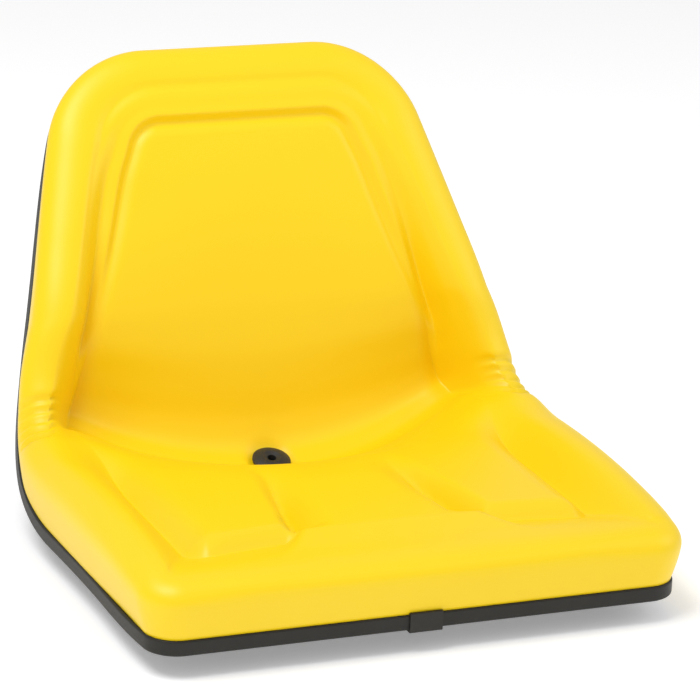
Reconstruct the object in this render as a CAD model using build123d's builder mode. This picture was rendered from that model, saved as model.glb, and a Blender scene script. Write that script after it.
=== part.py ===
from build123d import *
import os
from dataclasses import dataclass
from math import atan2, cos, degrees, hypot, radians, sin, sqrt, tan

# One-piece bucket seat for a small tractor: a moulded cushion on a pressed steel pan.
# The frame's origin is the middle of the mounting pattern, on the underside of the pan.
# +X is to the right of someone who faces the seat, -Y is its front and +Z is up.
# Lengths are in millimetres, angles in degrees.

# Rim path, seen from the side: a straight base, one bend and a straight back
base_run = 250.0
bend_radius = 210.0
back_lean = 24.0
back_run = 226.0
front_to_mount = 205.0

# Rim outline, seen square to the path
front_half = 227.0
hip_half = 239.0
hip_run = 330.0
hip_softness = 3.0
top_half = 147.5
front_corner = 28.0
top_corner = 87.0

# Pressed steel pan
sheet = 1.6
pan_depth = 20.0
flange_width = 16.0
pan_floor_run = 328.0
pan_front_ramp = 58.0
pan_front_fold = 30.0
pan_wall_slope = 40.0
pan_wall_radius = 10.0
pan_front_corner = 75.0
pan_top_corner = 130.0
bead_width = 18.0
bead_height = 4.0
bead_taper = 35.0
bead_offset = 62.0
bead_length = 170.0
back_bead_run = 600.0
back_bead_length = 120.0

# Push-on edge trim and the clip over its joint
trim_height = 13.0
trim_wall = 2.4
trim_lip = 11.0
trim_edge_radius = 1.8
trim_joint_gap = 2.0
seat_clearance = 0.2
neck_clearance = 0.6
fit_gap = 0.1
clip_width = 28.0
clip_wall = 1.8
clip_lip = 7.0
clip_edge_radius = 0.9

# Cushion: heights are over the rim surface, runs are along the rim path
wall_draft = 12.5
wall_foot = 1.5
front_height = 63.0
rail_height = 73.0
waist_height = 60.0
shoulder_height = 85.0
crown_height = 66.0
top_height = 58.0
roll_radius = 16.0
pocket_front = 74.0
pocket_top = 660.0
pocket_slope = 30.0
pocket_front_half = 178.0
pocket_hip_half = 190.0
pocket_top_half = 96.0
pocket_corner = 26.0
pocket_floor_radius = 12.0
pocket_edge_radius = 7.0
pad_front_height = 54.0
pad_height = 60.0
well_height = -9.0
well_run = 350.0
lumbar_height = 48.0
panel_height = 52.0

# Drain grommet, square to the pan at an angle round its rear bend
grommet_angle = 18.0
grommet_bore = 8.0
grommet_barrel = 16.0
grommet_flange = 34.0
grommet_rim = 1.6
grommet_dome = 5.0
grommet_lip = 21.0
grommet_lip_height = 1.5
grommet_foam = 33.0

# Captive nuts of the mounting pattern, for M8 bolts
bolt_spacing_x = 254.0
bolt_spacing_y = 203.2
nut_bore = 8.0
nut_across_flats = 13.0
nut_height = 6.5
nut_pilot = 10.5
nut_room = 1.0
bolt_tail_room = 12.0

# Derived values
back_turn = radians(90.0 - back_lean)
bend_run = bend_radius * back_turn
rim_run = base_run + bend_run + back_run
flange_low = trim_wall + seat_clearance
flange_high = flange_low + sheet
hem_high = trim_height - trim_wall - seat_clearance
body_low = trim_height + seat_clearance
hem_grow = -(trim_wall + seat_clearance)
neck_grow = -(trim_lip + neck_clearance)
crest_line = [
    (-45.0, front_height - 6.0),
    (40.0, front_height),
    (115.0, rail_height),
    (230.0, rail_height),
    (365.0, waist_height),
    (490.0, shoulder_height),
    (640.0, crown_height),
    (rim_run + 45.0, top_height - 4.0),
]
floor_line = [
    (pocket_front - 40.0, pad_front_height),
    (pocket_front + 10.0, pad_front_height),
    (170.0, pad_height),
    (250.0, pad_height - 8.0),
    (well_run, well_height),
    (440.0, lumbar_height - 8.0),
    (540.0, lumbar_height + 5.0),
    (pocket_top - 20.0, panel_height),
    (pocket_top + 40.0, panel_height),
]
pan_corner = (base_run + bend_radius * tan(back_turn / 2)) + pan_depth * tan(back_turn / 2)
pan_bend_radius = (pan_corner - pan_floor_run) / tan(back_turn / 2)
grommet_turn = radians(grommet_angle)
grommet_y = pan_floor_run - front_to_mount + pan_bend_radius * sin(grommet_turn)
grommet_z = pan_bend_radius * (1 - cos(grommet_turn))
grommet_axis = (0, -sin(grommet_turn), cos(grommet_turn))
grommet_plane = Plane(origin=(0, grommet_y, grommet_z), x_dir=(1, 0, 0), z_dir=grommet_axis)
deep = 52.0
tall = 125.0
reach = 2.0 * hip_half
side_stations = 6


def rim_point(run, height):
    """Point of the side view at a distance along the rim path and a height square to it."""
    turn = min(max((run - base_run) / bend_radius, 0.0), back_turn)
    flat = min(run, base_run)
    rise = max(run - base_run - bend_run, 0.0)
    y = flat + (bend_radius - height) * sin(turn) + rise * cos(back_turn) - front_to_mount
    z = pan_depth + bend_radius - (bend_radius - height) * cos(turn) + rise * sin(back_turn)
    return y, z


def rim_plane(run, tilt=0.0):
    """Section plane across the rim path: local x is X and local y is the height over the rim."""
    turn = min(max((run - base_run) / bend_radius, 0.0), back_turn) + radians(tilt)
    y, z = rim_point(run, 0.0)
    return Plane(origin=(0, y, z), x_dir=(1, 0, 0), z_dir=(0, -cos(turn), -sin(turn)))


def height_over_rim(point):
    """Height of a point over the rim surface, the inverse of rim_point."""
    y = point.Y + front_to_mount - base_run
    z = point.Z - pan_depth - bend_radius
    turn = atan2(y, -z)
    if turn <= 0.0:
        return point.Z - pan_depth
    if turn <= back_turn:
        return bend_radius - hypot(y, z)
    return bend_radius - (y * sin(back_turn) - z * cos(back_turn))


@dataclass
class Outline:
    """Outline on the rim surface: straight ends, soft-cornered sides and four corner arcs."""

    first: float
    last: float
    front_half: float
    hip_half: float
    top_half: float
    front_corner: float
    top_corner: float

    def half_width(self, run):
        """Soft minimum of the widening base and the narrowing back."""
        widening = self.front_half + (self.hip_half - self.front_half) * run / hip_run
        fall = (self.hip_half - self.top_half) / (rim_run - hip_run)
        narrowing = self.hip_half - fall * (run - hip_run)
        apart = (widening - narrowing) / 2
        return (widening + narrowing) / 2 - sqrt(apart**2 + hip_softness**2)

    def lean(self, run):
        """Angle in radians by which the side leans inwards along the path."""
        return atan2(self.half_width(run - 1) - self.half_width(run + 1), 2)

    def corner(self, radius, end, outwards, grow, count):
        """Sections of one pair of corner arcs, from the sides to the end."""
        centre = end - outwards * radius
        start = outwards * self.lean(centre)
        inner = self.half_width(centre + outwards * radius * sin(start)) - radius * cos(start)
        sections = []
        for i in range(count):
            angle = start + (radians(90.0) - start) * i / (count - 1)
            run = centre + outwards * (radius + grow) * sin(angle)
            half = inner + (radius + grow) * cos(angle)
            sections.append((run, -outwards * sin(angle), half, cos(angle)))
        return sections

    def sections(self, grow):
        """Run, end tilt, half width and growth of each section, from front to top.

        End tilt and growth are per unit of draft: 0 and about 1 along the sides, 1 and 0 at the ends.
        """
        front = self.corner(self.front_corner, self.first, -1, grow, 6)[::-1]
        top = self.corner(self.top_corner, self.last, 1, grow, 8)
        first, last = front[-1][0], top[0][0]
        sides = []
        for i in range(1, side_stations):
            run = first + (last - first) * i / side_stations
            spread = 1 / cos(self.lean(run))
            sides.append((run, 0.0, self.half_width(run) + grow * spread, spread))
        return front + sides + top


rim = Outline(0.0, rim_run, front_half, hip_half, top_half, front_corner, top_corner)
dish = Outline(-deep, rim_run, front_half, hip_half, top_half, pan_front_corner, pan_top_corner)
pocket = Outline(
    pocket_front,
    pocket_top,
    pocket_front_half,
    pocket_hip_half,
    pocket_top_half,
    pocket_corner,
    pocket_corner,
)


def floor_under(run):
    """Height a little under the pocket's floor line, straight between its points."""
    for (near, low), (far, high) in zip(floor_line, floor_line[1:]):
        if run <= far:
            break
    return low + (high - low) * (run - near) / (far - near) - pocket_floor_radius


def walls(outline, grow, draft=0.0, datum=0.0, floor=lambda run: -deep):
    """Tall solid whose walls follow an outline, grown outwards and flared above the datum."""
    slope = tan(radians(draft))
    with BuildPart() as block:
        for run, end, half, growth in outline.sections(grow - datum * slope):
            low = floor(run)
            half_low = half + low * slope * growth
            half_high = half + tall * slope * growth
            stretch = hypot(1.0, slope * end)
            with BuildSketch(rim_plane(run, degrees(atan2(slope * end, 1.0)))):
                with BuildLine():
                    Polyline(
                        (-half_low, low * stretch),
                        (half_low, low * stretch),
                        (half_high, tall * stretch),
                        (-half_high, tall * stretch),
                        close=True,
                    )
                make_face()
        loft()
    return block.part


def rim_curve(height):
    """Side-view line, arc and line at one height over the rim, longer than the seat."""
    start = rim_point(-deep, height)
    bend_start = rim_point(base_run, height)
    bend_middle = rim_point(base_run + bend_run / 2, height)
    bend_end = rim_point(base_run + bend_run, height)
    end = rim_point(rim_run + deep, height)
    Line(start, bend_start)
    ThreePointArc(bend_start, bend_middle, bend_end)
    Line(bend_end, end)
    return start, end


def slab(low, high):
    """Bent slab between two heights over the rim surface, wider and longer than the seat."""
    with BuildPart() as block:
        with BuildSketch(Plane.YZ.offset(-reach)):
            with BuildLine():
                low_start, low_end = rim_curve(low)
                high_start, high_end = rim_curve(high)
                Line(low_start, high_start)
                Line(low_end, high_end)
            make_face()
        extrude(amount=2 * reach)
    return block.part


def rim_block(grow, low, high):
    """Bent plate between two heights with the rim's rounded outline, grown outwards."""
    with BuildPart() as block:
        add(walls(rim, grow))
        add(slab(low, high), mode=Mode.INTERSECT)
    return block.part


def crossing(point, angle, other, other_angle):
    """Crossing of two lines of the side view, each a point and an angle in radians."""
    across = sin(other_angle - angle)
    dy, dz = other[0] - point[0], other[1] - point[1]
    along = (dy * sin(other_angle) - dz * cos(other_angle)) / across
    return point[0] + along * cos(angle), point[1] + along * sin(angle)


def below_flange(edge):
    """Tells whether an edge lies under the pan's flange."""
    return height_over_rim(edge.center()) < flange_low - sheet


def crosses_skin(edge):
    """Tells whether an edge runs along the pan's skin, not up the end of its wall."""
    return abs(edge.center().X) > pan_top_corner / 2


def pan_form(inset):
    """Solid that fills the pan's dish up to the flange, its skin moved inwards by the inset."""
    ramp = atan2(-(pan_depth + flange_low), pan_front_ramp)
    ramp_top = rim_point(flange_width - inset * sin(ramp), flange_low + inset * cos(ramp))
    floor_start = (ramp_top[0], inset)
    back_end = rim_point(rim_run + deep, inset - pan_depth)
    ramp_start = (ramp_top[0] - deep * cos(ramp), ramp_top[1] - deep * sin(ramp))
    front_fold = crossing(ramp_top, ramp, floor_start, 0.0)
    rear_fold = crossing(floor_start, 0.0, back_end, back_turn)
    with BuildPart() as form:
        with BuildSketch(Plane.YZ.offset(-reach)):
            with BuildLine():
                FilletPolyline(
                    ramp_start,
                    front_fold,
                    rear_fold,
                    back_end,
                    radius=[pan_front_fold - inset, pan_bend_radius - inset],
                )
                Line(back_end, ramp_start)
            make_face()
        extrude(amount=2 * reach)
        skin = inset / cos(radians(pan_wall_slope))
        add(walls(dish, -flange_width - skin, pan_wall_slope, flange_low), mode=Mode.INTERSECT)
        add(slab(-2 * deep, flange_high), mode=Mode.INTERSECT)
        wall_faces = form.faces().filter_by(GeomType.BSPLINE)
        creases = wall_faces.edges().filter_by(below_flange).filter_by(crosses_skin)
        fillet(creases, pan_wall_radius - inset)
    return form.part


def on_trim_edge(edge):
    """Tells whether an edge runs along the top or the bottom of the trim."""
    return abs(height_over_rim(edge.center()) - trim_height / 2) > trim_height / 4


def crest_block():
    """Cushion envelope: flared side walls up to the crest line of the rails and shoulders."""
    with BuildPart() as block:
        with BuildSketch(Plane.YZ.offset(-reach)):
            with BuildLine():
                foot_start, foot_end = rim_curve(body_low)
                crest = Spline(*[rim_point(run, height) for run, height in crest_line])
                Line(foot_start, crest @ 0)
                Line(foot_end, crest @ 1)
            make_face()
        extrude(amount=2 * reach)
        add(walls(rim, -wall_foot, wall_draft, body_low), mode=Mode.INTERSECT)
        crest_edges = block.faces().sort_by(lambda f: height_over_rim(f.center()))[-1].edges()
        fillet(crest_edges, roll_radius)
    return block.part


def opens_inside(face):
    """Tells whether a face has an opening in it."""
    return len(face.inner_wires()) > 0


def pocket_block():
    """The bucket's hollow: flared inner walls down to the line of the pads, well and panel."""
    with BuildPart() as block:
        with BuildSketch(Plane.YZ.offset(-reach)):
            with BuildLine():
                floor = Spline(*[rim_point(run, height) for run, height in floor_line])
                lid_start, lid_end = rim_curve(tall - 1)
                Line(floor @ 0, lid_start)
                Line(floor @ 1, lid_end)
            make_face()
        extrude(amount=2 * reach)
        add(walls(pocket, 0.0, pocket_slope, pad_height, floor_under), mode=Mode.INTERSECT)
        floor_edges = block.faces().sort_by(lambda f: height_over_rim(f.center()))[0].edges()
        fillet(floor_edges, pocket_floor_radius)
    return block.part


def bead_pair(plane, length, width, rise):
    """Two long pressed beads, side by side, that rise from a plane of the pan."""
    with BuildPart() as beads:
        with BuildSketch(plane):
            with GridLocations(2 * bead_offset, 0, 2, 1):
                SlotOverall(length, width, rotation=90)
        extrude(amount=rise, taper=bead_taper)
    return beads.part


def pan_beads(skin):
    """The beads of the base and of the back, grown outwards by a skin thickness."""
    back_y, back_z = rim_point(back_bead_run, -pan_depth)
    facing = (0, -sin(back_turn), cos(back_turn))
    back_plane = Plane(origin=(0, back_y, back_z), x_dir=(1, 0, 0), z_dir=facing)
    with BuildPart() as beads:
        add(bead_pair(Plane.XY, bead_length + 2 * skin, bead_width + 2 * skin, bead_height + skin))
        add(bead_pair(back_plane, back_bead_length + 2 * skin, bead_width + 2 * skin, bead_height + skin))
    return beads.part


def grommet_room(radius, start, end):
    """Round room along the drain grommet's axis, between two distances from the pan's skin."""
    with BuildPart() as room:
        with BuildSketch(grommet_plane.offset(start)):
            Circle(radius)
        extrude(amount=end - start)
    return room.part


def front_profile(run_low, run_high, low, high, width):
    """Bar across the front of the rim: a rectangle of runs and heights, carried along X."""
    with BuildPart() as bar:
        with BuildSketch(Plane.YZ.offset(-width / 2)):
            with BuildLine():
                Polyline(
                    rim_point(run_low, low),
                    rim_point(run_high, low),
                    rim_point(run_high, high),
                    rim_point(run_low, high),
                    close=True,
                )
            make_face()
        extrude(amount=width)
    return bar.part


os.makedirs("parts", exist_ok=True)
foam_in_pan = pan_form(sheet)

# Pressed pan: flange, dish, stiffening beads, nut holes and drain hole
with BuildPart() as seat_pan:
    add(rim_block(hem_grow, flange_low, flange_high))
    add(pan_form(0.0))
    add(foam_in_pan, mode=Mode.SUBTRACT)
    add(pan_beads(sheet))
    add(pan_beads(0.0), mode=Mode.SUBTRACT)
    add(grommet_room(grommet_barrel / 2 + fit_gap, -sheet, 3 * sheet), mode=Mode.SUBTRACT)
    with GridLocations(bolt_spacing_x, bolt_spacing_y, 2, 2):
        Hole(nut_pilot / 2 + fit_gap)
seat_pan.part.label = "seat_pan"
export_step(seat_pan.part, "parts/seat_pan.step")

# Push-on trim: a U-shaped strip round the rim, open at its joint in the middle of the front
with BuildPart() as edge_trim:
    add(rim_block(0.0, 0.0, trim_height))
    outer_walls = edge_trim.faces().filter_by(GeomType.BSPLINE)
    fillet(outer_walls.edges().filter_by(on_trim_edge), trim_edge_radius)
    add(rim_block(-trim_wall, trim_wall, trim_height - trim_wall), mode=Mode.SUBTRACT)
    add(rim_block(-trim_lip, -trim_wall, trim_height + trim_wall), mode=Mode.SUBTRACT)
    joint = front_profile(-trim_lip, 2 * trim_lip, -trim_wall, trim_height + trim_wall, trim_joint_gap)
    add(joint, mode=Mode.SUBTRACT)
edge_trim.part.label = "edge_trim"
export_step(edge_trim.part, "parts/edge_trim.step")

# Clip folded round the trim to cover its joint
with BuildPart() as trim_joint_clip:
    add(front_profile(-clip_wall, clip_lip, -clip_wall, trim_height + clip_wall, clip_width))
    fillet(trim_joint_clip.edges().filter_by(Axis.X).group_by(Axis.Y)[0], clip_edge_radius)
    add(front_profile(0.0, trim_lip, 0.0, trim_height, clip_width), mode=Mode.SUBTRACT)
trim_joint_clip.part.label = "trim_joint_clip"
export_step(trim_joint_clip.part, "parts/trim_joint_clip.step")

# Foam under the crest: the neck and hem held by the trim, and the filling of the pan
hollow = pocket_block()
with BuildPart() as foam_base:
    add(rim_block(neck_grow, hem_high, body_low))
    add(rim_block(hem_grow, flange_high, hem_high))
    add(foam_in_pan)
    add(hollow, mode=Mode.SUBTRACT)

# Moulded cushion: the crest with the bucket's hollow in it, in one piece with the foam under it
with BuildPart() as seat_cushion:
    add(crest_block())
    add(hollow, mode=Mode.SUBTRACT)
    crest_face = seat_cushion.faces().filter_by(GeomType.EXTRUSION).filter_by(opens_inside)[0]
    fillet(crest_face.inner_wires()[0].edges(), pocket_edge_radius)
    add(foam_base.part)
    add(pan_beads(sheet), mode=Mode.SUBTRACT)
    add(grommet_room(grommet_barrel / 2 + fit_gap, 0.0, grommet_foam), mode=Mode.SUBTRACT)
    add(grommet_room(grommet_flange / 2 + fit_gap, grommet_foam, tall), mode=Mode.SUBTRACT)
    clip_top = trim_height + clip_wall + seat_clearance
    clip_room = front_profile(-deep, clip_lip + seat_clearance, 0.0, clip_top, clip_width + 2 * seat_clearance)
    add(clip_room, mode=Mode.SUBTRACT)
    with BuildSketch(Plane.XY):
        with GridLocations(bolt_spacing_x, bolt_spacing_y, 2, 2):
            RegularPolygon(nut_across_flats / 2 + nut_room, 6, major_radius=False)
    extrude(amount=sheet + nut_height + bolt_tail_room, mode=Mode.SUBTRACT)
seat_cushion.part.label = "seat_cushion"
export_step(seat_cushion.part, "parts/seat_cushion.step")

# Drain grommet: domed flange on the cushion, barrel through the foam, lip under the pan
with BuildPart() as drain_grommet:
    with BuildSketch(Plane(grommet_plane.origin, x_dir=(1, 0, 0), z_dir=-grommet_plane.y_dir)):
        with BuildLine():
            bore, barrel = grommet_bore / 2, grommet_barrel / 2
            lip, flange = grommet_lip / 2, grommet_flange / 2
            brim = grommet_foam + grommet_rim
            dome = Line((bore, grommet_foam + grommet_dome - grommet_rim), (bore, -grommet_lip_height))
            Polyline(
                (bore, -grommet_lip_height),
                (lip - grommet_lip_height, -grommet_lip_height),
                (lip, 0),
                (barrel, 0),
                (barrel, grommet_foam),
                (flange, grommet_foam),
                (flange, brim),
            )
            crown = (barrel, grommet_foam + grommet_dome)
            ThreePointArc((flange, brim), ((flange + barrel) / 2, brim + 0.7 * (crown[1] - brim)), crown)
            Line(crown, dome @ 0)
        make_face()
    revolve(axis=Axis(grommet_plane.origin, grommet_plane.z_dir))
drain_grommet.part.label = "drain_grommet"
export_step(drain_grommet.part, "parts/drain_grommet.step")

# Captive nuts: hexagons on the pan's floor, their pilots in its holes
with BuildPart() as mount_nuts:
    with BuildSketch(Plane.XY.offset(sheet)):
        with GridLocations(bolt_spacing_x, bolt_spacing_y, 2, 2):
            RegularPolygon(nut_across_flats / 2, 6, major_radius=False)
    extrude(amount=nut_height)
    with BuildSketch(Plane.XY):
        with GridLocations(bolt_spacing_x, bolt_spacing_y, 2, 2):
            Circle(nut_pilot / 2)
    extrude(amount=sheet)
    with GridLocations(bolt_spacing_x, bolt_spacing_y, 2, 2):
        Hole(nut_bore / 2)
mount_nuts.part.label = "mount_nuts"
export_step(mount_nuts.part, "parts/mount_nuts.step")
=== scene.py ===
"""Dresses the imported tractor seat: a moulded yellow cushion, its trim, pan and fittings, and a studio."""

import logging
import math
from collections.abc import Callable
from dataclasses import dataclass
from enum import Enum
from typing import NamedTuple

import bmesh
import bpy
import numpy as np
from mathutils import Matrix, Vector


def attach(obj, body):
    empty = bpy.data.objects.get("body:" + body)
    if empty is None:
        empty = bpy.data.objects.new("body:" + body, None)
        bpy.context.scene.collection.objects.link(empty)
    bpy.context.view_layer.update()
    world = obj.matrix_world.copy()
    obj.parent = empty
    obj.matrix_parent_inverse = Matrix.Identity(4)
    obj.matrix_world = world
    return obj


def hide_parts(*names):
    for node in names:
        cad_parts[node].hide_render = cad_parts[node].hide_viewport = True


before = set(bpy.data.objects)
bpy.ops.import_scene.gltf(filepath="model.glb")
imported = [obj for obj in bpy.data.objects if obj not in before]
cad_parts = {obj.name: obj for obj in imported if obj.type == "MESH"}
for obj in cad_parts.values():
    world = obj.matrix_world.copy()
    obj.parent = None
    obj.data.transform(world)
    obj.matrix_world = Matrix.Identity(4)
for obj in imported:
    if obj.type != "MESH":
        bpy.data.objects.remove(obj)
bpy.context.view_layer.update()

MM = 0.001
log = logging.getLogger("tractor_seat")


class Slot(Enum):
    """Material slot of the record for the modelled piece; nothing in the script uses it."""

    VINYL = "cushion_vinyl"


class Node(Enum):
    """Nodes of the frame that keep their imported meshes."""

    PAN = "seat_pan"
    TRIM = "edge_trim"
    CLIP = "trim_joint_clip"
    GROMMET = "drain_grommet"
    NUTS = "mount_nuts"


def smooth_step(low: float, high: float, value: np.ndarray) -> np.ndarray:
    """Rises from 0 at low to 1 at high as 3u^2 - 2u^3, where u is the clipped share of the way.

    Args:
        low: Value where the rise starts.
        high: Value where the rise ends.
        value: Values to ease.

    Returns:
        The eased values, from 0 to 1.
    """
    share = np.clip((value - low) / (high - low), 0.0, 1.0)
    return share * share * (3.0 - 2.0 * share)


def through(points: list[tuple[float, float]], value: np.ndarray) -> np.ndarray:
    """Smooth curve through control points, flat beyond its ends.

    Each span is a cubic whose end slopes are the control points' own gradients.

    Args:
        points: Control points as pairs of place and height, in rising order of place.
        value: Places where the curve is wanted.

    Returns:
        The curve's height at each place.
    """
    place, height = np.array(points, dtype=float).T
    slope = np.gradient(height, place)
    slope[[0, -1]] = 0.0
    span = np.clip(np.searchsorted(place, value) - 1, 0, len(place) - 2)
    width = place[span + 1] - place[span]
    u = np.clip((value - place[span]) / width, 0.0, 1.0)
    start = (1 + 2 * u) * (1 - u) ** 2 * height[span] + u * (1 - u) ** 2 * width * slope[span]
    end = u * u * (3 - 2 * u) * height[span + 1] + u * u * (u - 1) * width * slope[span + 1]
    return start + end


def crease(distance: np.ndarray, width: np.ndarray | float, softness: float = 1.6) -> np.ndarray:
    """Pulled-in crease of (1 - d / width)^2, level at the width.

    The distance d is the root of the squared distance and softness, less the softness, which rounds
    the crease's bottom.

    Args:
        distance: Distances to the crease's line.
        width: Distance where the crease ends.
        softness: Radius of its bottom.

    Returns:
        Share of the crease's depth, 1 on the line.
    """
    rounded = np.sqrt(distance**2 + softness**2) - softness
    return np.clip(1.0 - rounded / width, 0.0, 1.0) ** 2


@dataclass(frozen=True)
class RimPath:
    """Side view of the rim in millimetres: a straight base, one bend and a straight back."""

    base_run: float = 250.0
    bend_radius: float = 210.0
    back_turn: float = math.radians(66.0)
    back_run: float = 226.0
    front_to_mount: float = 205.0
    pan_depth: float = 20.0

    @property
    def length(self) -> float:
        """Whole run from the front of the rim to its top."""
        return self.base_run + self.bend_radius * self.back_turn + self.back_run

    def place(self, run: np.ndarray, x: np.ndarray, height: np.ndarray) -> np.ndarray:
        """Bends sheet coordinates into the part's frame.

        The turn is the run past the base divided by the bend radius, up to the back's turn. A point
        stands at its height square to the path, inside the bend, and runs on straight past it.

        Args:
            run: Distance along the rim path from the front, in millimetres.
            x: Distance to the right of the middle, in millimetres.
            height: Distance over the rim surface, in millimetres.

        Returns:
            Points in metres, with a last axis of 3.
        """
        turn = np.clip((run - self.base_run) / self.bend_radius, 0.0, self.back_turn)
        flat = np.minimum(run, self.base_run)
        rise = np.maximum(run - self.base_run - self.bend_radius * self.back_turn, 0.0)
        arm = self.bend_radius - height
        y = flat + arm * np.sin(turn) + rise * math.cos(self.back_turn) - self.front_to_mount
        z = self.pan_depth + self.bend_radius - arm * np.cos(turn) + rise * math.sin(self.back_turn)
        return np.stack(np.broadcast_arrays(x, y, z), axis=-1) * MM


@dataclass(frozen=True)
class LoopCounts:
    """Numbers of columns on each stretch of half an outline, from the front's middle to the top's."""

    front: int = 46
    front_corner: int = 18
    side: int = 150
    top_corner: int = 34
    top: int = 20


@dataclass(frozen=True)
class Outline:
    """Closed outline on the rim surface with straight ends, free sides and four corner arcs."""

    first: float
    last: float
    front_corner: float
    top_corner: float
    half_width: Callable[[np.ndarray], np.ndarray]

    def lean(self, run: float) -> float:
        """Angle by which the side leans inwards at a run."""
        near, far = self.half_width(np.array([run - 1.0, run + 1.0]))
        return math.atan2(near - far, 2.0)

    def corner(self, radius: float, end: float, outwards: int, count: int) -> tuple[np.ndarray, np.ndarray]:
        """Corner arc from the side to the end of the outline.

        The run is the centre's plus radius times sine, and the half width the centre's plus radius
        times cosine, while the angle goes from the side's lean to a right angle.

        Args:
            radius: Radius of the arc.
            end: Run of the outline's end.
            outwards: -1 at the front and 1 at the top.
            count: Number of points.

        Returns:
            Runs and half widths of the arc.
        """
        centre = end - outwards * radius
        start = outwards * self.lean(centre)
        side = self.half_width(np.array([centre + outwards * radius * math.sin(start)]))[0]
        inner = side - radius * math.cos(start)
        angle = np.linspace(start, math.pi / 2, count)
        return centre + outwards * radius * np.sin(angle), inner + radius * np.cos(angle)

    def loop(self, counts: LoopCounts) -> tuple[np.ndarray, np.ndarray]:
        """Whole outline, anticlockwise from the middle of the front as seen from above.

        Args:
            counts: Numbers of columns on each stretch.

        Returns:
            Runs and x of the columns, the right half first and then its mirror image.
        """
        front_run, front_half = self.corner(self.front_corner, self.first, -1, counts.front_corner)
        top_run, top_half = self.corner(self.top_corner, self.last, 1, counts.top_corner)
        front_x = np.linspace(0.0, front_half[-1], counts.front, endpoint=False)
        side_run = np.linspace(front_run[0], top_run[0], counts.side + 2)[1:-1]
        top_x = np.linspace(top_half[-1], 0.0, counts.top + 1)[1:]
        run = np.concatenate(
            [
                np.full(counts.front, self.first),
                front_run[::-1],
                side_run,
                top_run,
                np.full(counts.top, self.last),
            ]
        )
        x = np.concatenate([front_x, front_half[::-1], self.half_width(side_run), top_half, top_x])
        return np.concatenate([run, run[-2:0:-1]]), np.concatenate([x, -x[-2:0:-1]])


class Rings(NamedTuple):
    """Outlines of the cushion on the rim's sheet, all with the same columns."""

    run: np.ndarray
    x: np.ndarray
    out_run: np.ndarray
    out_x: np.ndarray
    inset: np.ndarray
    mouth_run: np.ndarray
    mouth_x: np.ndarray


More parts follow.
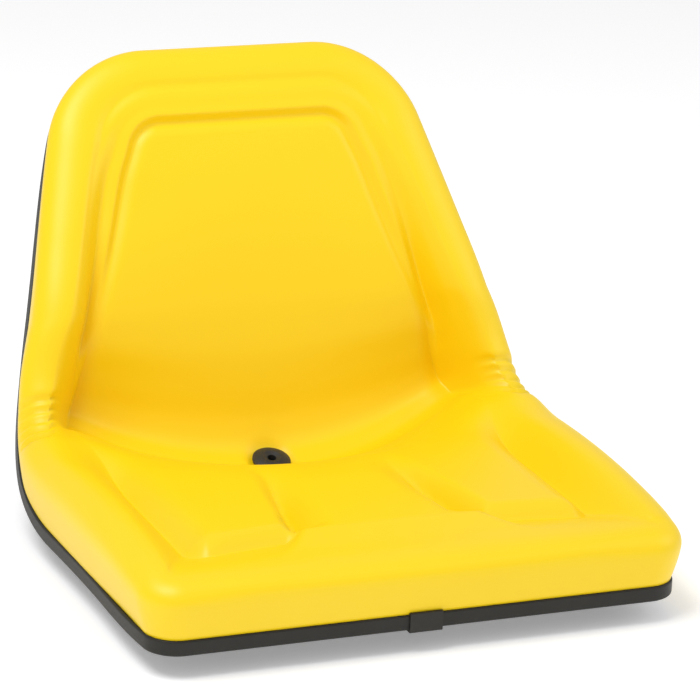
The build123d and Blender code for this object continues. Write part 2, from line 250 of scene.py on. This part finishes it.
@dataclass(frozen=True)
class Cushion:
    """Moulded vinyl cushion of the seat, with all sizes in millimetres on the rim's own sheet.

    A pair that is called a fade gives the places where a feature starts and ends its change.
    """

    path: RimPath = RimPath()
    counts: LoopCounts = LoopCounts()
    front_half: float = 227.0
    hip_half: float = 239.0
    hip_run: float = 330.0
    hip_softness: float = 3.0
    top_half: float = 147.5
    front_corner: float = 28.0
    top_corner: float = 87.0
    foot_inset: float = 1.5
    foot_height: float = 13.2
    neck_inset: float = 11.8
    neck_height: float = 8.0
    belly: float = 1.4
    front_crest_inset: float = 36.0
    front_crest_fade: tuple = (40.0, 190.0)
    front_fullness: float = 0.3
    front_fullness_fade: tuple = (130.0, 205.0)
    mouth_front: float = 64.0
    mouth_front_bow: float = 15.0
    mouth_bow_half: float = 165.0
    mouth_bow_run: float = 60.0
    mouth_top: float = 657.0
    mouth_front_corner: float = 24.0
    mouth_top_corner: float = 26.0
    side_reach: float = 175.0
    shift_rounds: int = 12
    pad_groove: float = 17.0
    pad_edge: float = 30.0
    pad_front_groove: float = 11.0
    pad_front_edge: float = 20.0
    pad_corner_blend: float = 25.0
    pad_inner_fade: tuple = (-2.0, 16.0)
    pad_rear_fade: tuple = (215.0, 335.0)
    inner_groove: float = 20.0
    inner_groove_rear: float = 58.0
    inner_groove_flare: float = 0.145
    inner_groove_flare_from: float = 205.0
    inner_groove_flare_run: float = 140.0
    inner_groove_pad_side: float = 16.0
    inner_groove_pommel_side: float = 30.0
    inner_groove_front_fade: tuple = (0.0, 18.0)
    inner_groove_rear_fade: tuple = (140.0, 250.0)
    groove_overlap: float = 0.35
    back_fade: tuple = (400.0, 480.0)
    upper_fade: tuple = (500.0, 590.0)
    upper_fall: tuple = (0.08, 1.0)
    panel_step: float = 6.0
    panel_step_width: float = 8.5
    panel_step_fade: tuple = (480.0, 570.0)
    panel_groove: float = 3.6
    panel_edge: float = 10.0
    panel_groove_fade: tuple = (455.0, 545.0)
    valley_width: float = 8.5
    valley_softness: float = 3.5
    band_depth: float = 1.0
    band_width: float = 7.0
    band_place: float = 33.0
    pleat_first: float = 344.0
    pleat_pitch: float = 12.6
    pleat_count: int = 5
    pleat_depth: float = 3.4
    pleat_width: float = 6.2
    pleat_foot: float = 0.7
    pleat_foot_rows: int = 5
    pleat_inner: float = 0.42
    grommet_run: float = 352.0
    grommet_pit: float = 24.0
    grommet_pit_fade: tuple = (4.5, 8.0)
    grommet_seat: float = 3.0
    grommet_seat_fade: tuple = (17.0, 24.0)
    medial_front: float = 165.0
    medial_top: float = 560.0
    medial_fade: tuple = (0.05, 0.95)
    foam_edge: float = 3.0
    foam_depth: float = 18.0
    foam_shoulder: tuple = (0.62, 1.0)
    foam_well: float = 20.0
    foam_well_front: tuple = (270.0, 345.0)
    foam_well_rear: tuple = (360.0, 450.0)
    foam_well_sides: tuple = (60.0, 140.0)
    foam_rows: int = 12
    wall_rows: int = 12
    roll_rows: int = 16
    frame_rows: int = 56
    frame_gather: float = 0.8
    inner_rows: int = 60
    inner_gather: float = 1.15

    def rim_half(self, run: np.ndarray) -> np.ndarray:
        """Rim's half width: the soft minimum of a widening base and a narrowing back."""
        widening = self.front_half + (self.hip_half - self.front_half) * run / self.hip_run
        fall = (self.hip_half - self.top_half) / (self.path.length - self.hip_run)
        narrowing = self.hip_half - fall * (run - self.hip_run)
        apart = (widening - narrowing) / 2
        return (widening + narrowing) / 2 - np.sqrt(apart**2 + self.hip_softness**2)

    def mouth_half(self, run: np.ndarray) -> np.ndarray:
        """Half width of the bucket's mouth: the pads' outer grooves, then the back panel's."""
        return through(
            [
                (60, 176), (170, 177), (280, 179), (345, 185), (390, 181), (430, 167), (470, 155),
                (515, 140), (560, 126), (610, 111), (660, 95),
            ],
            run,
        )

    def bulge(self, run: np.ndarray) -> np.ndarray:
        """Height of the widest line of the outer wall along the run."""
        return through(
            [
                (0, 42), (50, 47), (110, 49), (240, 47), (320, 42), (367, 38), (410, 50), (474, 64),
                (508, 64), (564, 56), (621, 48), (670, 43), (718, 40),
            ],
            run,
        )

    def bulge_out(self, run: np.ndarray) -> np.ndarray:
        """Distance of the widest line outside the rim along the run."""
        return through(
            [
                (0, 5.0), (60, 7.0), (110, 7.0), (250, 6.0), (350, 4.0), (390, 6.5), (430, 9.5),
                (520, 10.5), (640, 10.0), (718, 7.5),
            ],
            run,
        )

    def crest_inset(self, run: np.ndarray) -> np.ndarray:
        """Distance of the crest inside the rim along the run."""
        return through([(0, 20), (250, 20), (367, 18), (450, 16), (602, 21), (718, 22)], run)

    def crest(self, run: np.ndarray) -> np.ndarray:
        """Height of the crest over the outer wall along the run."""
        return through(
            [
                (0, 61), (50, 68), (115, 74), (240, 73), (320, 66), (367, 60), (410, 69), (490, 85),
                (560, 77), (640, 66), (718, 57),
            ],
            run,
        )

    def floor(self, run: np.ndarray, x: np.ndarray) -> np.ndarray:
        """Height of the smooth seat surface inside the mouth, before creases.

        A centre line through the pommel, well and back is shifted along the run by a line of its own
        times the squared share of the side's reach, found by repeated substitution. The sides of the
        well and of the lower back rise by the same square.

        Args:
            run: Runs of the points.
            x: Distances from the middle.

        Returns:
            Heights over the rim surface.
        """
        out = (x / self.side_reach) ** 2
        shift = [(0, 0), (100, 32), (205, 85), (352, 48), (430, 22), (540, 0)]
        moved = run
        for _ in range(self.shift_rounds):
            moved = run - out * through(shift, moved)
        centre = through(
            [
                (0, 62), (60, 64), (150, 63), (200, 61), (250, 52), (281, 40), (305, 22), (320, 6),
                (336, -6), (352, -9), (370, -10), (388, 0), (410, 17), (440, 34), (477, 45),
                (515, 50.5), (551, 54.5), (600, 57), (718, 58),
            ],
            moved,
        )
        well = through([(270, 0), (335, 20), (365, 20), (430, 0)], moved)
        lumbar = through([(385, 0), (450, 12), (500, 12), (610, 0)], run)
        return centre + out * (well + lumbar)

    def valley(self, run: np.ndarray) -> tuple[np.ndarray, np.ndarray, np.ndarray]:
        """Crease between the bolster and the back's shell, whose edge rolls over into it.

        Args:
            run: Runs of the points.

        Returns:
            Its depth, its distance outside the mouth, and the width of the shell's rounded edge.
        """
        depth = through(
            [(335, 0), (380, 2.5), (420, 7.0), (500, 7.5), (560, 3.2), (610, 1.4), (718, 0.9)], run
        )
        outside = through([(395, 0), (450, 8), (500, 13), (560, 17), (718, 15)], run)
        roll = through([(330, 18), (380, 18), (470, 19), (550, 12), (610, 7.5), (718, 7.5)], run)
        return depth, outside, roll

    def inner_groove_x(self, run: np.ndarray) -> np.ndarray:
        """Distance from the middle of the groove between a pad and the pommel."""
        ahead = np.clip(self.inner_groove_flare_from - run, 0.0, self.inner_groove_flare_run)
        return self.inner_groove_rear + self.inner_groove_flare * ahead

    def mouth_edge(self, x: np.ndarray) -> np.ndarray:
        """Run of the mouth's front edge, bowed back towards the middle."""
        out = np.clip(np.abs(x) / self.mouth_bow_half, 0, 1)
        return self.mouth_front + self.mouth_front_bow * (1 - out**2)

    def medial(self, mouth_run: np.ndarray) -> np.ndarray:
        """Run on the middle line where a column of the mouth ends."""
        share = np.clip((mouth_run - self.mouth_front) / (self.mouth_top - self.mouth_front), 0.0, 1.0)
        ease = smooth_step(*self.medial_fade, share)
        return self.medial_front + (self.medial_top - self.medial_front) * ease

    def grooves(self, run: np.ndarray, x: np.ndarray, edge: np.ndarray) -> np.ndarray:
        """Depth of the creases round the pads and the back panel.

        Each groove is a crease of the distance to its line. Where a pad's two grooves meet, the deeper
        one counts in full and the other in part.

        Args:
            run: Runs of the points.
            x: Distances from the middle.
            edge: Distances from the mouth.

        Returns:
            Depths under the smooth surface.
        """
        side = np.abs(x)
        from_front = run - self.mouth_edge(x)
        at_corner = self.mouth_half(run) - side - from_front
        at_front = smooth_step(-self.pad_corner_blend, self.pad_corner_blend, at_corner)
        pad_width = self.pad_edge + (self.pad_front_edge - self.pad_edge) * at_front
        pad_depth = self.pad_groove + (self.pad_front_groove - self.pad_groove) * at_front
        gap = side - self.inner_groove_x(run)
        beside = smooth_step(*self.pad_inner_fade, gap)
        ahead = 1 - smooth_step(*self.pad_rear_fade, run)
        outer = pad_depth * crease(edge, pad_width) * beside * ahead
        reach = np.where(gap > 0, self.inner_groove_pad_side, self.inner_groove_pommel_side)
        fade = smooth_step(*self.inner_groove_front_fade, from_front)
        fade = fade * (1 - smooth_step(*self.inner_groove_rear_fade, run))
        inner = self.inner_groove * crease(gap, reach) * fade
        panel = self.panel_groove * crease(edge, self.panel_edge)
        panel = panel * smooth_step(*self.panel_groove_fade, run)
        depth, outside, roll = self.valley(run)
        panel = panel + depth * crease(edge + outside, roll, self.valley_softness)
        return np.maximum(outer, inner) + self.groove_overlap * np.minimum(outer, inner) + panel

    def rings(self) -> Rings:
        """Rim and mouth outlines, with the rim's outward direction and the crest's inset.

        Returns:
            The outlines.
        """
        rim = Outline(0.0, self.path.length, self.front_corner, self.top_corner, self.rim_half)
        mouth = Outline(
            self.mouth_front,
            self.mouth_top,
            self.mouth_front_corner,
            self.mouth_top_corner,
            self.mouth_half,
        )
        run, x = rim.loop(self.counts)
        along_run = np.roll(run, -1) - np.roll(run, 1)
        along_x = np.roll(x, -1) - np.roll(x, 1)
        length = np.hypot(along_run, along_x)
        mouth_run, mouth_x = mouth.loop(self.counts)
        front = 1 - smooth_step(self.mouth_front, self.mouth_front + self.mouth_bow_run, mouth_run)
        mouth_run = mouth_run + front * (self.mouth_edge(mouth_x) - self.mouth_front)
        middle = (1 - smooth_step(*self.front_crest_fade, np.abs(x))) * (run < self.mouth_front)
        side_inset = self.crest_inset(run)
        inset = side_inset + (self.front_crest_inset - side_inset) * middle
        return Rings(run, x, -along_x / length, along_run / length, inset, mouth_run, mouth_x)

    def surface(self) -> np.ndarray:
        """Closed grid of the cushion, from the middle of its underside over the wall to its top's middle.

        Returns:
            Points in metres, with axes of row, column and 3.
        """
        rings = self.rings()
        sheets = [self.underside(rings), self.wall(rings), self.slope(rings), self.inside(rings)]
        run, x, height = (np.concatenate(grids) for grids in zip(*sheets))
        points = self.path.place(run, x, height)
        return points + self.pleats(points, rings.run, len(sheets[0][0]))

    def wall(self, rings: Rings) -> tuple[np.ndarray, ...]:
        """Rows of the outer wall and of the roll over it, up to the crest.

        The wall grows outwards to its widest line as 1 - (1 - u)^belly. The roll is a quarter of an
        ellipse, with its cosine and sine raised to a power under 1 where the front is fuller.

        Args:
            rings: Outlines of the cushion.

        Returns:
            Runs, distances and heights by row and column.
        """
        bulge, bulge_out = self.bulge(rings.run), self.bulge_out(rings.run)
        up = np.linspace(0.0, 1.0, self.wall_rows)[:, None]
        wall_grow = -self.foot_inset + (bulge_out + self.foot_inset) * (1 - (1 - up) ** self.belly)
        wall_height = self.foot_height + (bulge - self.foot_height) * up
        angle = np.linspace(0.0, math.pi / 2, self.roll_rows + 1)[1:, None]
        middle = 1 - smooth_step(*self.front_fullness_fade, np.abs(rings.x))
        power = 1 - self.front_fullness * middle * (rings.run < self.mouth_front)
        roll_grow = -rings.inset + (bulge_out + rings.inset) * np.cos(angle).clip(0.0) ** power
        roll_height = bulge + (self.crest(rings.run) - bulge) * np.sin(angle) ** power
        grow = np.concatenate([wall_grow, roll_grow])
        height = np.concatenate([wall_height, roll_height])
        return rings.run + grow * rings.out_run, rings.x + grow * rings.out_x, height

    def slope(self, rings: Rings) -> tuple[np.ndarray, ...]:
        """Rows of the bolster, straight across from the crest to the mouth.

        Args:
            rings: Outlines of the cushion.

        Returns:
            Runs, distances and heights by row and column.
        """
        mouth_run, mouth_x = rings.mouth_run, rings.mouth_x
        share = np.linspace(0.0, 1.0, self.frame_rows + 1)[1:, None] ** self.frame_gather
        crest_run = rings.run - rings.inset * rings.out_run
        crest_x = rings.x - rings.inset * rings.out_x
        mouth_height = self.floor(mouth_run, mouth_x)
        mouth_height = mouth_height - self.grooves(mouth_run, mouth_x, np.zeros_like(mouth_x))
        width = np.hypot(mouth_run - crest_run, mouth_x - crest_x)
        return (
            crest_run + (mouth_run - crest_run) * share,
            crest_x + (mouth_x - crest_x) * share,
            self.bolster(share, width, self.crest(rings.run), mouth_height, mouth_run),
        )

    def inside(self, rings: Rings) -> tuple[np.ndarray, ...]:
        """Rows of the seat and back inside the mouth, with the grommet's place sunk into them.

        Args:
            rings: Outlines of the cushion.

        Returns:
            Runs, distances and heights by row and column.
        """
        share = np.linspace(0.0, 1.0, self.inner_rows + 1)[1:, None] ** self.inner_gather
        run = rings.mouth_run + (self.medial(rings.mouth_run) - rings.mouth_run) * share
        x = rings.mouth_x * (1 - share)
        edge = np.minimum(self.mouth_half(run) - np.abs(x), run - self.mouth_edge(x))
        edge = np.minimum(edge, self.mouth_top - run)
        edge = np.minimum(np.maximum(edge, 0.0), np.hypot(run - rings.mouth_run, x - rings.mouth_x))
        height = self.floor(run, x) - self.grooves(run, x, edge)
        from_drain = np.hypot(run - self.grommet_run, x)
        height = height - self.grommet_seat * (1 - smooth_step(*self.grommet_seat_fade, from_drain))
        height = height - self.grommet_pit * (1 - smooth_step(*self.grommet_pit_fade, from_drain))
        return run, x, height

    def bolster(
        self,
        share: np.ndarray,
        width: np.ndarray,
        crest: np.ndarray,
        mouth_height: np.ndarray,
        mouth_run: np.ndarray,
    ) -> np.ndarray:
        """Heights from the crest inwards to the mouth.

        On the base the height falls by three parts of 1.5u^2 - 0.5u^3 and one of a smooth step into
        the pads' crease. On the back it falls as 1.5u^2 - 0.5u^3 into the valley beside the shell,
        higher up as a smooth step, and ends in a short step down to the panel.

        Args:
            share: Share of the way from crest to mouth, by row.
            width: Distance from crest to mouth, by column.
            crest: Height of the crest, by column.
            mouth_height: Height at the mouth, by column.
            mouth_run: Run of the mouth, by column.

        Returns:
            Heights by row and column.
        """
        rounded = 1.5 * share**2 - 0.5 * share**3
        base = crest + (mouth_height - crest) * (0.75 * rounded + 0.25 * smooth_step(0.0, 1.0, share))
        upper = smooth_step(*self.upper_fade, mouth_run)
        depth, outside, roll = self.valley(mouth_run)
        level = mouth_height + depth * crease(outside, roll, self.valley_softness)
        lip = level + self.panel_step * smooth_step(*self.panel_step_fade, mouth_run)
        apart = (1 - share) * width
        down = np.minimum(share / (1 - outside / width), 1.0)
        steep = 1.5 * down**2 - 0.5 * down**3
        fall = steep + (smooth_step(*self.upper_fall, down) - steep) * upper
        step = smooth_step(0.0, 1.0, 1 - apart / self.panel_step_width)
        slope = crest + (lip - crest) * fall + (level - lip) * step
        sides = np.where(apart < outside, roll, self.valley_width)
        slope = slope - depth * crease(apart - outside, sides, self.valley_softness)
        slope = slope - self.band_depth * upper * crease(apart - self.band_place, self.band_width)
        return base + (slope - base) * smooth_step(*self.back_fade, mouth_run)

    def underside(self, rings: Rings) -> tuple[np.ndarray, ...]:
        """Rows of the foam in the pan, from its middle out to the neck inside the trim.

        Args:
            rings: Outlines of the cushion. Under the mouth the foam lies deep in the pan.

        Returns:
            Runs, distances and heights by row and column.
        """
        medial = self.medial(rings.mouth_run)
        share = np.linspace(0.0, 1.0, self.foam_rows)[:, None]
        deep_run = medial + (rings.mouth_run - medial) * share
        deep_x = rings.mouth_x * share
        bend = smooth_step(*self.foam_well_front, deep_run)
        bend = bend * (1 - smooth_step(*self.foam_well_rear, deep_run))
        deep = self.foam_edge - self.foam_depth * (1 - smooth_step(*self.foam_shoulder, share))
        deep = deep - self.foam_well * bend * (1 - smooth_step(*self.foam_well_sides, np.abs(deep_x)))
        neck_run = rings.run - self.neck_inset * rings.out_run
        neck_x = rings.x - self.neck_inset * rings.out_x
        neck = [np.full_like(neck_x, height) for height in (self.neck_height, self.foot_height)]
        return (
            np.concatenate([deep_run, [neck_run, neck_run]]),
            np.concatenate([deep_x, [neck_x, neck_x]]),
            np.concatenate([deep, neck]),
        )

    def pleats(self, points: np.ndarray, run: np.ndarray, first: int) -> np.ndarray:
        """Gathers across the bolster at the waist, pressed in along the surface's normals.

        The depth is a sum of creases of the distance along the rim to each pleat, faded out at the
        foot of the wall and on the inner slope.

        Args:
            points: Grid of the whole cushion.
            run: Run of the rim, by column.
            first: Row of the wall's foot.

        Returns:
            Shifts in metres with the grid's shape.
        """
        across = np.roll(points, -1, axis=1) - np.roll(points, 1, axis=1)
        normal = np.cross(across, np.gradient(points, axis=0))
        size = np.linalg.norm(normal, axis=-1, keepdims=True)
        normal = normal / np.maximum(size, 1e-12)
        lines = self.pleat_first + self.pleat_pitch * np.arange(self.pleat_count)[:, None]
        pattern = crease(run - lines, self.pleat_width).sum(axis=0)
        row = np.arange(len(points), dtype=float) - first
        crest_row = self.wall_rows + self.roll_rows
        foot_row = self.pleat_foot * self.wall_rows
        reach = smooth_step(foot_row, self.wall_rows + self.pleat_foot_rows, row)
        reach = reach * (1 - smooth_step(crest_row, crest_row + self.pleat_inner * self.frame_rows, row))
        depth = self.pleat_depth * MM * pattern[None, :] * reach[:, None]
        return -normal * depth[..., None]


def grid_mesh(name: str, points: np.ndarray) -> bpy.types.Object:
    """Closed mesh object from a grid whose columns go round and whose end rows fold shut.

    Args:
        name: Name of the piece.
        points: Points in metres, with axes of row, column and 3.

    Returns:
        The object, at the origin, linked to the scene.
    """
    rows, columns = points.shape[:2]
    index = np.arange(rows * columns).reshape(rows, columns)
    right = np.roll(index, -1, axis=1)
    quads = np.stack([index[:-1], right[:-1], right[1:], index[1:]], axis=-1).reshape(-1, 4)
    mesh = bpy.data.meshes.new(name)
    mesh.vertices.add(rows * columns)
    mesh.vertices.foreach_set("co", points.astype(np.float32).ravel())
    mesh.loops.add(quads.size)
    mesh.loops.foreach_set("vertex_index", quads.astype(np.int32).ravel())
    mesh.polygons.add(len(quads))
    mesh.polygons.foreach_set("loop_start", np.arange(0, quads.size, 4, dtype=np.int32))
    mesh.update(calc_edges=True)
    work = bmesh.new()
    work.from_mesh(mesh)
    bmesh.ops.remove_doubles(work, verts=work.verts, dist=2e-6)
    bmesh.ops.dissolve_degenerate(work, edges=work.edges, dist=1e-7)
    bmesh.ops.recalc_face_normals(work, faces=work.faces)
    work.to_mesh(mesh)
    work.free()
    mesh.polygons.foreach_set("use_smooth", np.ones(len(mesh.polygons), dtype=bool))
    piece = bpy.data.objects.new(name, mesh)
    bpy.context.scene.collection.objects.link(piece)
    return piece


class Shade:
    """A shader value: wraps an output socket so that Python arithmetic adds Math nodes."""

    def __init__(self, sheet: "ShaderSheet", socket: bpy.types.NodeSocket) -> None:
        """Keeps the sheet of nodes and the socket."""
        self.sheet = sheet
        self.socket = socket

    def _math(self, operation: str, first: "Shade | float", second: "Shade | float") -> "Shade":
        """Adds one Math node for two operands."""
        return self.sheet.node("ShaderNodeMath", {"operation": operation}, {0: first, 1: second})

    def __add__(self, other: "Shade | float") -> "Shade":
        """Sum."""
        return self._math("ADD", self, other)

    __radd__ = __add__

    def __sub__(self, other: "Shade | float") -> "Shade":
        """Difference."""
        return self._math("SUBTRACT", self, other)

    def __mul__(self, other: "Shade | float") -> "Shade":
        """Product."""
        return self._math("MULTIPLY", self, other)


class ShaderSheet:
    """Node tree of one material, with one method for every node."""

    def __init__(self, name: str) -> None:
        """Makes an empty node material with a Principled shader."""
        self.material = bpy.data.materials.new(name)
        self.material.use_nodes = True
        self.tree = self.material.node_tree
        self.shader = self.tree.nodes["Principled BSDF"]

    def node(self, kind: str, settings: dict, inputs: dict, output: int | str = 0) -> Shade:
        """Adds a node.

        Args:
            kind: Type of the node.
            settings: Its own settings, set before the sockets.
            inputs: Values or shades for its sockets, by name or number.
            output: Socket to return.

        Returns:
            The output as a shade.
        """
        made = self.tree.nodes.new(kind)
        for key, value in settings.items():
            setattr(made, key, value)
        for key, value in inputs.items():
            self.feed(made.inputs[key], value)
        return Shade(self, made.outputs[output])

    def feed(self, socket: bpy.types.NodeSocket, value: "Shade | float | tuple") -> None:
        """Links a shade to a socket, or sets a number or colour on it."""
        if isinstance(value, Shade):
            self.tree.links.new(value.socket, socket)
        else:
            socket.default_value = value

    def surface(self, **inputs: "Shade | float | tuple") -> None:
        """Feeds the Principled shader's sockets, with underscores for spaces in their names."""
        for key, value in inputs.items():
            self.feed(self.shader.inputs[key.replace("_", " ")], value)

    def place(self) -> Shade:
        """Object coordinates in metres."""
        return self.node("ShaderNodeTexCoord", {}, {}, "Object")

    def noise(self, place: Shade, scale: float, detail: float) -> Shade:
        """Noise from 0 to 1 with so many lumps per metre."""
        inputs = {"Vector": place, "Scale": scale, "Detail": detail, "Roughness": 0.5}
        return self.node("ShaderNodeTexNoise", {}, inputs, "Fac")

    def mix(self, share: "Shade | float", first: tuple, second: tuple) -> Shade:
        """Mix of two colours."""
        settings = {"data_type": "RGBA", "clamp_factor": True}
        return self.node("ShaderNodeMix", settings, {0: share, 6: first, 7: second}, 2)

    def bump(self, height: Shade, strength: float, distance: float) -> Shade:
        """Normal from a height in units of the distance."""
        inputs = {"Height": height, "Strength": strength, "Distance": distance}
        return self.node("ShaderNodeBump", {}, inputs, "Normal")


@dataclass(frozen=True)
class VinylFinish:
    """Satin moulded vinyl with a fine leather grain."""

    name: str
    colour: tuple = (0.97, 0.685, 0.003, 1.0)
    shade: tuple = (0.96, 0.66, 0.0015, 1.0)
    roughness: float = 0.42
    specular: float = 0.45
    drift_per_metre: float = 7.0
    grain_per_metre: float = 900.0
    grain_depth: float = 0.00012
    grain_strength: float = 0.35

    def material(self) -> bpy.types.Material:
        """Builds the material.

        Grain is the distance to the edges of small irregular cells, softened by noise, and the colour
        drifts a little over the size of a hand.

        Returns:
            The material.
        """
        sheet = ShaderSheet(self.name)
        place = sheet.place()
        drift = sheet.noise(place, self.drift_per_metre, 2.0)
        cells = sheet.node(
            "ShaderNodeTexVoronoi",
            {"feature": "DISTANCE_TO_EDGE"},
            {"Vector": place, "Scale": self.grain_per_metre, "Randomness": 1.0},
            "Distance",
        )
        fine = sheet.noise(place, 2.2 * self.grain_per_metre, 2.0)
        grain = cells * 0.8 + fine * 0.4
        sheet.surface(
            Base_Color=sheet.mix(drift, self.colour, self.shade),
            Roughness=self.roughness + (fine - 0.5) * 0.12 + (drift - 0.5) * 0.06,
            Normal=sheet.bump(grain, self.grain_strength, self.grain_depth),
            Specular_IOR_Level=self.specular,
        )
        return sheet.material


@dataclass(frozen=True)
class PlasticFinish:
    """Dark satin plastic, rubber or paint with faint mottling and a fine bump."""

    name: str
    colour: tuple
    light: tuple
    roughness: float
    mottle_per_metre: float = 40.0
    lumps_per_metre: float = 600.0
    depth: float = 0.0001
    strength: float = 0.3
    metallic: float = 0.0
    specular: float = 0.3

    def material(self) -> bpy.types.Material:
        """Builds the material from two colours mottled by noise.

        Returns:
            The material.
        """
        sheet = ShaderSheet(self.name)
        place = sheet.place()
        mottle = sheet.noise(place, self.mottle_per_metre, 4.0)
        fine = sheet.noise(place, self.lumps_per_metre, 3.0)
        sheet.surface(
            Base_Color=sheet.mix(mottle, self.colour, self.light),
            Roughness=self.roughness + (fine - 0.5) * 0.2,
            Metallic=self.metallic,
            Specular_IOR_Level=self.specular,
            Normal=sheet.bump(fine, self.strength, self.depth),
        )
        return sheet.material


@dataclass(frozen=True)
class Hardware:
    """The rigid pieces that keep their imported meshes, each with its finish."""

    finishes: tuple = (
        (
            Node.PAN,
            PlasticFinish("black_pan_paint", (0.012, 0.012, 0.013, 1), (0.022, 0.022, 0.023, 1), 0.38),
        ),
        (
            Node.TRIM,
            PlasticFinish("charcoal_trim", (0.014, 0.0135, 0.011, 1), (0.024, 0.023, 0.02, 1), 0.5),
        ),
        (
            Node.CLIP,
            PlasticFinish("charcoal_clip", (0.019, 0.018, 0.015, 1), (0.03, 0.028, 0.024, 1), 0.48),
        ),
        (
            Node.GROMMET,
            PlasticFinish("grommet_rubber", (0.022, 0.022, 0.021, 1), (0.036, 0.036, 0.035, 1), 0.5),
        ),
        (
            Node.NUTS,
            PlasticFinish("zinc_nuts", (0.5, 0.49, 0.46, 1), (0.62, 0.61, 0.57, 1), 0.35, metallic=1.0),
        ),
    )

    def dress(self) -> None:
        """Puts each finish on its node."""
        for node, finish in self.finishes:
            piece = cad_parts[node.value]
            piece.data.materials.clear()
            piece.data.materials.append(finish.material())
            log.info("dressed %s", node.value)


@dataclass(frozen=True)
class Studio:
    """Plain pale floor, soft light and a camera at the photograph's angle."""

    target: tuple = (0.0, -0.0118, 0.1649)
    back: tuple = (-0.3594, -0.8761, 0.3214)
    distance: float = 2.8968
    lens: float = 180.33
    sensor: float = 36.0
    roll: float = math.radians(2.44)
    shift: tuple = (0.0094, 0.0416)
    floor_size: float = 12.0
    floor_gap: float = 0.0005
    floor_grey: float = 0.93
    floor_glow: float = 0.27
    backdrop: float = 0.55
    lights: tuple = (
        ("key", (-1.1, -0.5, 2.6), 1.3, 42.0),
        ("fill", (2.2, -0.8, 1.6), 1.6, 12.0),
    )

    def camera(self) -> None:
        """Makes the camera: it looks back along the fitted direction, turned about its own axis."""
        data = bpy.data.cameras.new("photo_camera")
        data.lens, data.sensor_width = self.lens, self.sensor
        data.shift_x, data.shift_y = self.shift
        camera = bpy.data.objects.new("photo_camera", data)
        back = Vector(self.back).normalized()
        turn = (-back).to_track_quat("-Z", "Y").to_matrix() @ Matrix.Rotation(self.roll, 3, "Z")
        place = Matrix.Translation(Vector(self.target) + back * self.distance)
        camera.matrix_world = place @ turn.to_4x4()
        bpy.context.scene.collection.objects.link(camera)
        bpy.context.scene.camera = camera

    def floor(self) -> None:
        """Lays the pale floor just under the seat, with a faint glow that keeps it near white."""
        half, low = self.floor_size / 2, -self.floor_gap
        mesh = bpy.data.meshes.new("studio_floor")
        corners = [(-half, -half, low), (half, -half, low), (half, half, low), (-half, half, low)]
        mesh.from_pydata(corners, [], [(0, 1, 2, 3)])
        floor = bpy.data.objects.new("studio_floor", mesh)
        sheet = ShaderSheet("pale_floor")
        sheet.surface(
            Base_Color=(self.floor_grey, self.floor_grey, self.floor_grey, 1),
            Roughness=0.9,
            Specular_IOR_Level=0.1,
            Emission_Color=(1, 1, 1, 1),
            Emission_Strength=self.floor_glow,
        )
        mesh.materials.append(sheet.material)
        bpy.context.scene.collection.objects.link(floor)

    def light(self, name: str, place: tuple, size: float, power: float) -> None:
        """Adds one soft area light that faces the seat.

        Args:
            name: Name of the light.
            place: Its place in metres.
            size: Side of the light.
            power: Power in watts.
        """
        data = bpy.data.lights.new(name, "AREA")
        data.size, data.energy = size, power
        lamp = bpy.data.objects.new(name, data)
        aim = Vector(self.target) - Vector(place)
        lamp.location = place
        lamp.rotation_mode = "QUATERNION"
        lamp.rotation_quaternion = aim.to_track_quat("-Z", "Y")
        bpy.context.scene.collection.objects.link(lamp)

    def build(self) -> None:
        """Sets up the camera, floor, lights and backdrop light."""
        scene = bpy.context.scene
        scene.view_settings.view_transform = "Standard"
        world = bpy.data.worlds.new("studio_world")
        world.use_nodes = True
        background = world.node_tree.nodes["Background"]
        background.inputs["Color"].default_value = (1, 1, 1, 1)
        background.inputs["Strength"].default_value = self.backdrop
        scene.world = world
        self.camera()
        self.floor()
        for name, place, size, power in self.lights:
            self.light(name, place, size, power)
        log.info("studio ready")


def main() -> None:
    """Builds the cushion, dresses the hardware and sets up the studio."""
    logging.basicConfig(level=logging.INFO, format="%(name)s: %(message)s")
    cushion = grid_mesh("moulded_cushion", Cushion().surface())
    cushion.data.materials.append(VinylFinish("yellow_vinyl").material())
    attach(cushion, "root")
    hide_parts("seat_cushion")
    log.info("cushion has %d faces", len(cushion.data.polygons))
    Hardware().dress()
    Studio().build()


if __name__ == "__main__":
    main()
